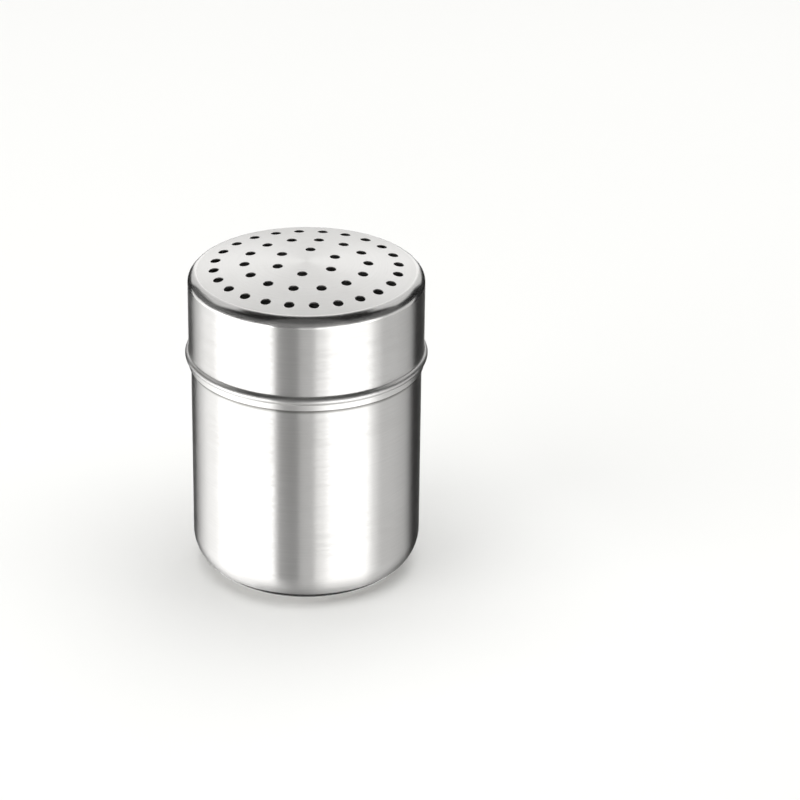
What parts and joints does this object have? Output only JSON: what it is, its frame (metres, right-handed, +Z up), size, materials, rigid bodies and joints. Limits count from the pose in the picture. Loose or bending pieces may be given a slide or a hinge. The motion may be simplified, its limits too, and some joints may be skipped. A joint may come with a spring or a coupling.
{
  "type": "spice shaker",
  "caption": "Round steel kitchen shaker: a drawn can with a rounded base corner under a slip-on domed lid, perforated with rings of sprinkling holes and beaded at its lower edge.",
  "frame": {"origin": "centre of the base, on the surface that the can stands on", "axes": "+Z up along the axis of the can and the lid; -Y towards the viewer"},
  "size_m": [0.07, 0.07, 0.0955],
  "materials": {
    "can_steel": "satin, polished round the axis",
    "lid_steel": "satin, polished round the axis, with punched holes"
  },
  "bodies": {
    "can": {"can": "can_steel"},
    "lid": {"lid": "lid_steel"}
  },
  "joints": [
    {"name": "lid_lift", "type": "slide", "parent": "can", "child": "lid", "axis": [0, 0, 1], "range_m": [0, 0.06]}
  ]
}
